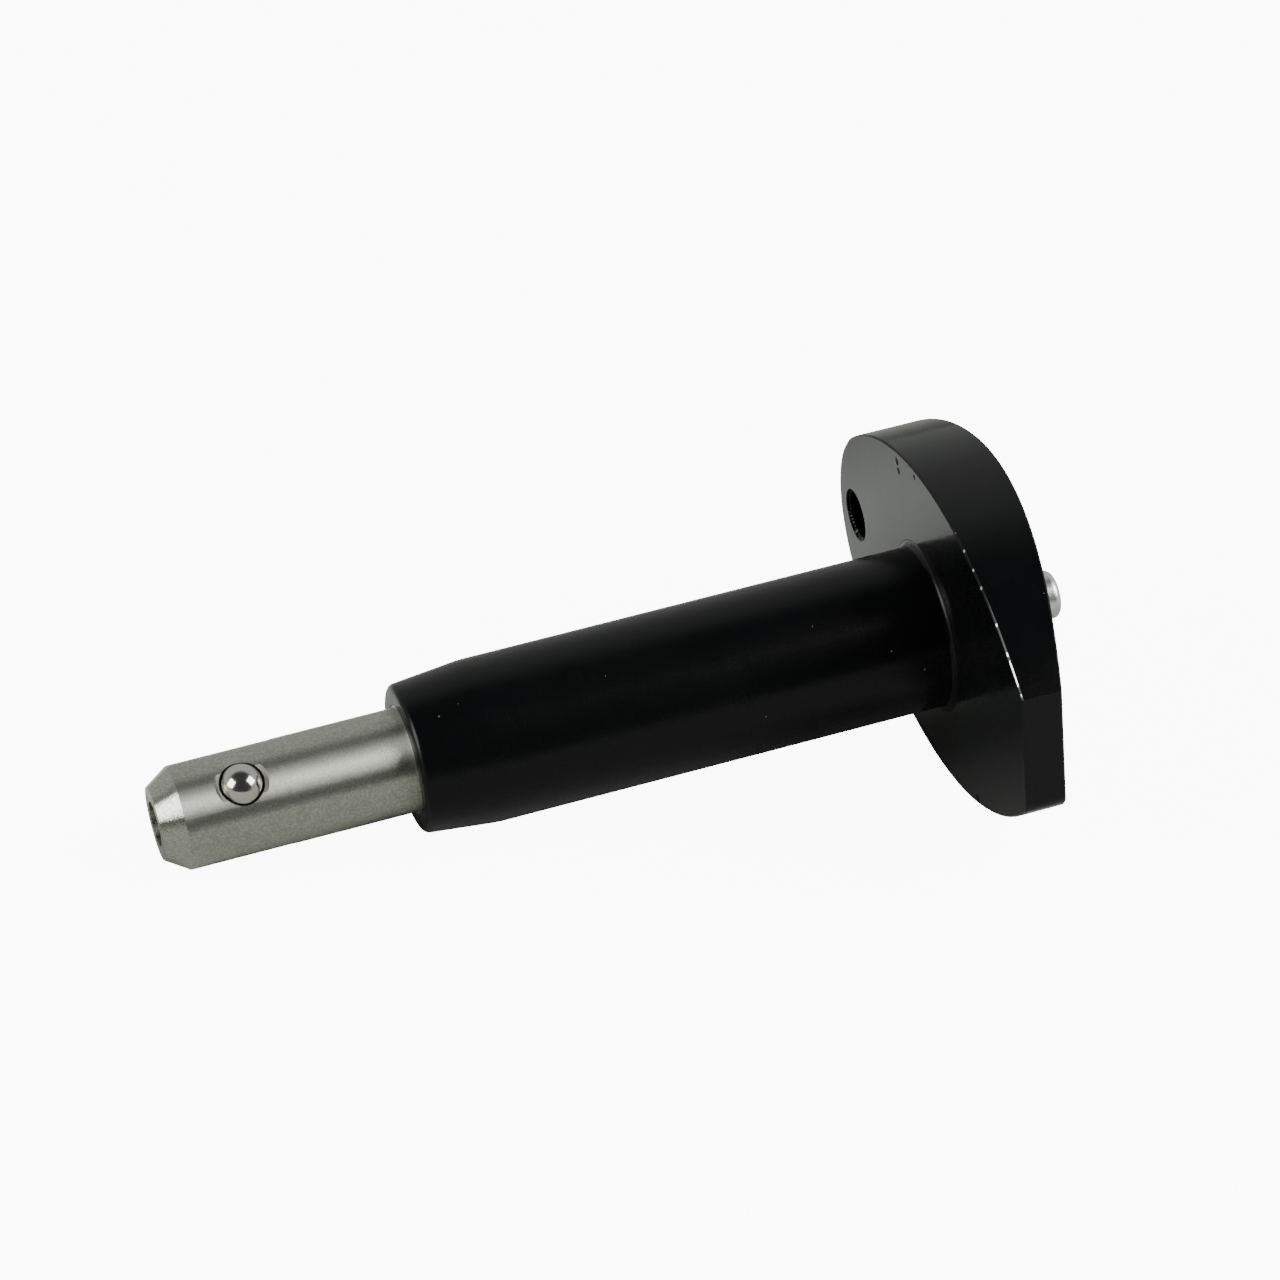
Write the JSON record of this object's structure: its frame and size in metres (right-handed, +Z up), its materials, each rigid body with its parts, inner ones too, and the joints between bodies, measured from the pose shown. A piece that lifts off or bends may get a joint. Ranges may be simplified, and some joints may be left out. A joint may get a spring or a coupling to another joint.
{
  "type": "quick change tool post",
  "caption": "Push-button ball-lock post: a hollow pin in a tapered sleeve on an oval flange with a hole, for locking a quick-change tool or arm in a socket.",
  "frame": {"origin": "on the pin's axis, in the plane of the flange's front face, where the sleeve meets it", "axes": "+X along the pin from its tip to the push button, +Y along the flange's long side towards its hole, +Z up across the flange"},
  "size_m": [0.1133, 0.0619, 0.0406],
  "materials": {
    "stainless": "satin, fine turned grain",
    "black_sleeve": "satin black anodised",
    "black_plate": "semi-gloss black, worn edges",
    "black_screw": "black oxide",
    "black_oxide": "black oxide",
    "spring_steel": "plain",
    "bush_steel": "turned",
    "spring_wire": "drawn wire",
    "spindle_steel": "ground",
    "ball_steel": "polished",
    "chrome": "bright"
  },
  "bodies": {
    "post": {"pin_shank": "stainless", "sleeve": "black_sleeve", "flange_plate": "black_plate", "flange_grub_screw": "black_screw", "lock_washer": "spring_steel", "ring_nut": "black_oxide", "end_bush": "bush_steel", "spring_seat": "spring_steel", "return_spring": "spring_wire"},
    "plunger": {"spindle": "spindle_steel", "button": "chrome", "button_roll_pin": "spring_steel", "stop_ring": "spring_steel", "thrust_washer": "spring_steel"},
    "ball_a": {"ball_upper": "ball_steel"},
    "ball_b": {"ball_lower": "ball_steel"}
  },
  "joints": [
    {"name": "button_press", "type": "slide", "parent": "post", "child": "plunger", "axis": [-1, 0, 0], "range_m": [0, 0.003], "stiffness_N_per_m": 900, "springref_m": -0.008, "deforming": ["return_spring"]},
    {"name": "ball_upper_slide", "type": "slide", "parent": "post", "child": "ball_a", "axis": [0, 0.5592, -0.829], "range_m": [0, 0.0016]},
    {"name": "ball_lower_slide", "type": "slide", "parent": "post", "child": "ball_b", "axis": [0, -0.5592, 0.829], "range_m": [0, 0.0016]}
  ],
  "couplings": [
    {"joint": "ball_upper_slide", "follows": "button_press", "ratio": 0.53333},
    {"joint": "ball_lower_slide", "follows": "button_press", "ratio": 0.53333}
  ]
}
